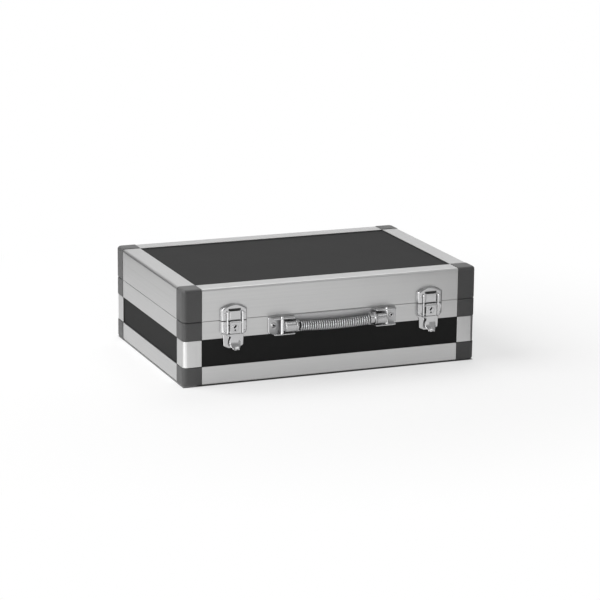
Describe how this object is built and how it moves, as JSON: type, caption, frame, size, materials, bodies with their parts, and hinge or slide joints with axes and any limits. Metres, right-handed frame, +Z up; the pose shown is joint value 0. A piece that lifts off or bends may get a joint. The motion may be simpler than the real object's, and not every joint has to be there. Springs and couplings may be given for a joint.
{
  "type": "flight case",
  "caption": "Small hinged flight case with an aluminium frame, black boards, plastic corners, key-lock draw latches and a spring-wound carrying handle.",
  "frame": {"origin": "on the surface the case stands on, under the middle of the whole object with its handle and hinges", "axes": "+X along the width, to the right seen from the handle side; +Y from the handle side to the hinges; +Z up"},
  "size_m": [0.353, 0.2603, 0.11],
  "materials": {
    "aluminium": "satin extruded profile",
    "chrome": "bright plated pressed steel",
    "steel": "plated steel",
    "corner_plastic": "dark grey moulded plastic",
    "laminate": "board with a satin black laminate",
    "foam": "dark grey open-cell foam"
  },
  "bodies": {
    "case": {"base_bottom_panel": "laminate", "base_panel_front": "laminate", "base_panel_back": "laminate", "base_panel_left": "laminate", "base_panel_right": "laminate", "base_rim_front": "aluminium", "base_rim_back": "aluminium", "base_rim_left": "aluminium", "base_rim_right": "aluminium", "base_profile_front": "aluminium", "base_profile_back": "aluminium", "base_profile_left": "aluminium", "base_profile_right": "aluminium", "corner_post_front_left": "aluminium", "corner_post_front_right": "aluminium", "corner_post_back_left": "aluminium", "corner_post_back_right": "aluminium", "rim_corner_front_left": "corner_plastic", "rim_corner_front_right": "corner_plastic", "rim_corner_back_left": "corner_plastic", "rim_corner_back_right": "corner_plastic", "bottom_corner_front_left": "corner_plastic", "bottom_corner_front_right": "corner_plastic", "bottom_corner_back_left": "corner_plastic", "bottom_corner_back_right": "corner_plastic", "base_foam": "foam", "latch_plate_left": "chrome", "latch_plate_right": "chrome", "latch_lever_pin_left": "steel", "latch_lever_pin_right": "steel", "handle_plate": "chrome", "hinge_base_leaf_left": "steel", "hinge_base_leaf_right": "steel", "hinge_pin_left": "steel", "hinge_pin_right": "steel"},
    "lid": {"lid_top_panel": "laminate", "lid_wall_frame": "laminate", "lid_profile_front": "aluminium", "lid_profile_back": "aluminium", "lid_profile_left": "aluminium", "lid_profile_right": "aluminium", "lid_corner_front_left": "corner_plastic", "lid_corner_front_right": "corner_plastic", "lid_corner_back_left": "corner_plastic", "lid_corner_back_right": "corner_plastic", "lid_foam": "foam", "latch_strike_left": "chrome", "latch_strike_right": "chrome", "hinge_lid_leaf_left": "steel", "hinge_lid_leaf_right": "steel"},
    "lever_left": {"latch_lever_left": "chrome"},
    "lever_right": {"latch_lever_right": "chrome"},
    "hasp_left": {"latch_hasp_left": "chrome"},
    "hasp_right": {"latch_hasp_right": "chrome"},
    "lock_left": {"lock_barrel_left": "steel"},
    "lock_right": {"lock_barrel_right": "steel"},
    "grip_left": {"handle_end_left": "chrome", "handle_spring": "chrome"},
    "grip_right": {"handle_end_right": "chrome"}
  },
  "joints": [
    {"name": "lid_hinge", "type": "hinge", "parent": "case", "child": "lid", "pos_m": [0, 0.12715, 0.07315], "axis": [-1, 0, 0], "range_deg": [0, 100]},
    {"name": "lever_left_pivot", "type": "hinge", "parent": "case", "child": "lever_left", "pos_m": [-0.118, -0.11835, 0.0703], "axis": [-1, 0, 0], "range_deg": [0, 110]},
    {"name": "lever_right_pivot", "type": "hinge", "parent": "case", "child": "lever_right", "pos_m": [0.118, -0.11835, 0.0703], "axis": [-1, 0, 0], "range_deg": [0, 110]},
    {"name": "hasp_left_pivot", "type": "hinge", "parent": "lever_left", "child": "hasp_left", "pos_m": [-0.118, -0.11785, 0.057], "axis": [-1, 0, 0], "range_deg": [-110, 0]},
    {"name": "hasp_right_pivot", "type": "hinge", "parent": "lever_right", "child": "hasp_right", "pos_m": [0.118, -0.11785, 0.057], "axis": [-1, 0, 0], "range_deg": [-110, 0]},
    {"name": "lock_left_turn", "type": "hinge", "parent": "lever_left", "child": "lock_left", "pos_m": [-0.118, -0.11915, 0.065], "axis": [0, 1, 0], "range_deg": [0, 90]},
    {"name": "lock_right_turn", "type": "hinge", "parent": "lever_right", "child": "lock_right", "pos_m": [0.118, -0.11915, 0.065], "axis": [0, 1, 0], "range_deg": [0, 90]},
    {"name": "handle_bow", "type": "hinge", "parent": "case", "child": "grip_left", "pos_m": [-0.063, -0.12315, 0.06275], "axis": [0, 0, -1], "range_deg": [0, 20], "stiffness_Nm_per_rad": 1},
    {"name": "handle_mid", "type": "hinge", "parent": "grip_left", "child": "grip_right", "pos_m": [0, -0.1224, 0.06275], "axis": [0, 0, -1], "range_deg": [-40, 0], "deforming": ["handle_spring"]}
  ],
  "couplings": [
    {"joint": "hasp_left_pivot", "follows": "lever_left_pivot", "ratio": -1},
    {"joint": "hasp_right_pivot", "follows": "lever_right_pivot", "ratio": -1},
    {"joint": "handle_mid", "follows": "handle_bow", "ratio": -2}
  ]
}
